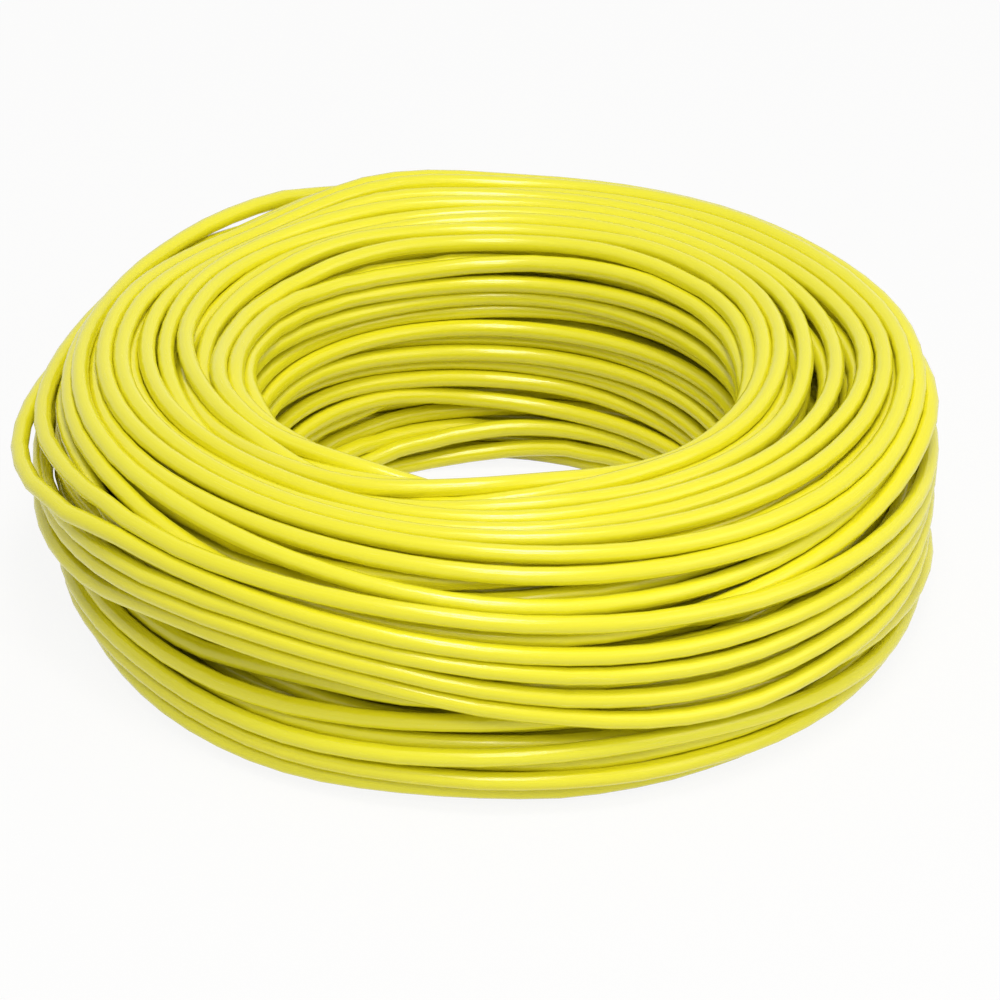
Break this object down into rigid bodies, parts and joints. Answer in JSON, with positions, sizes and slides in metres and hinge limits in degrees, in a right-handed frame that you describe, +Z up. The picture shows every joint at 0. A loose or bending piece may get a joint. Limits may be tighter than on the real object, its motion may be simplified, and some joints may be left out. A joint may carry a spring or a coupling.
{
  "type": "wire coil",
  "caption": "Drumless coil of yellow PVC-insulated single-core copper wire, lying flat, with an open round bore through its middle.",
  "frame": {"origin": "centre of the bore, on the plane that the coil lies on", "axes": "+Z up, along the axis of the coil; -Y towards the picture's camera, +X to its right"},
  "size_m": [0.185, 0.185, 0.0541],
  "materials": {
    "sheath": "smooth glossy extruded PVC, yellow",
    "conductor": "bare bright copper, cut square"
  },
  "bodies": {
    "root": {"wound_turns": "sheath", "buried_turns": "sheath", "first_end_strand_1": "conductor", "first_end_strand_2": "conductor", "first_end_strand_3": "conductor", "first_end_strand_4": "conductor", "first_end_strand_5": "conductor", "first_end_strand_6": "conductor", "first_end_strand_7": "conductor", "last_end_strand_1": "conductor", "last_end_strand_2": "conductor", "last_end_strand_3": "conductor", "last_end_strand_4": "conductor", "last_end_strand_5": "conductor", "last_end_strand_6": "conductor", "last_end_strand_7": "conductor"}
  },
  "joints": []
}
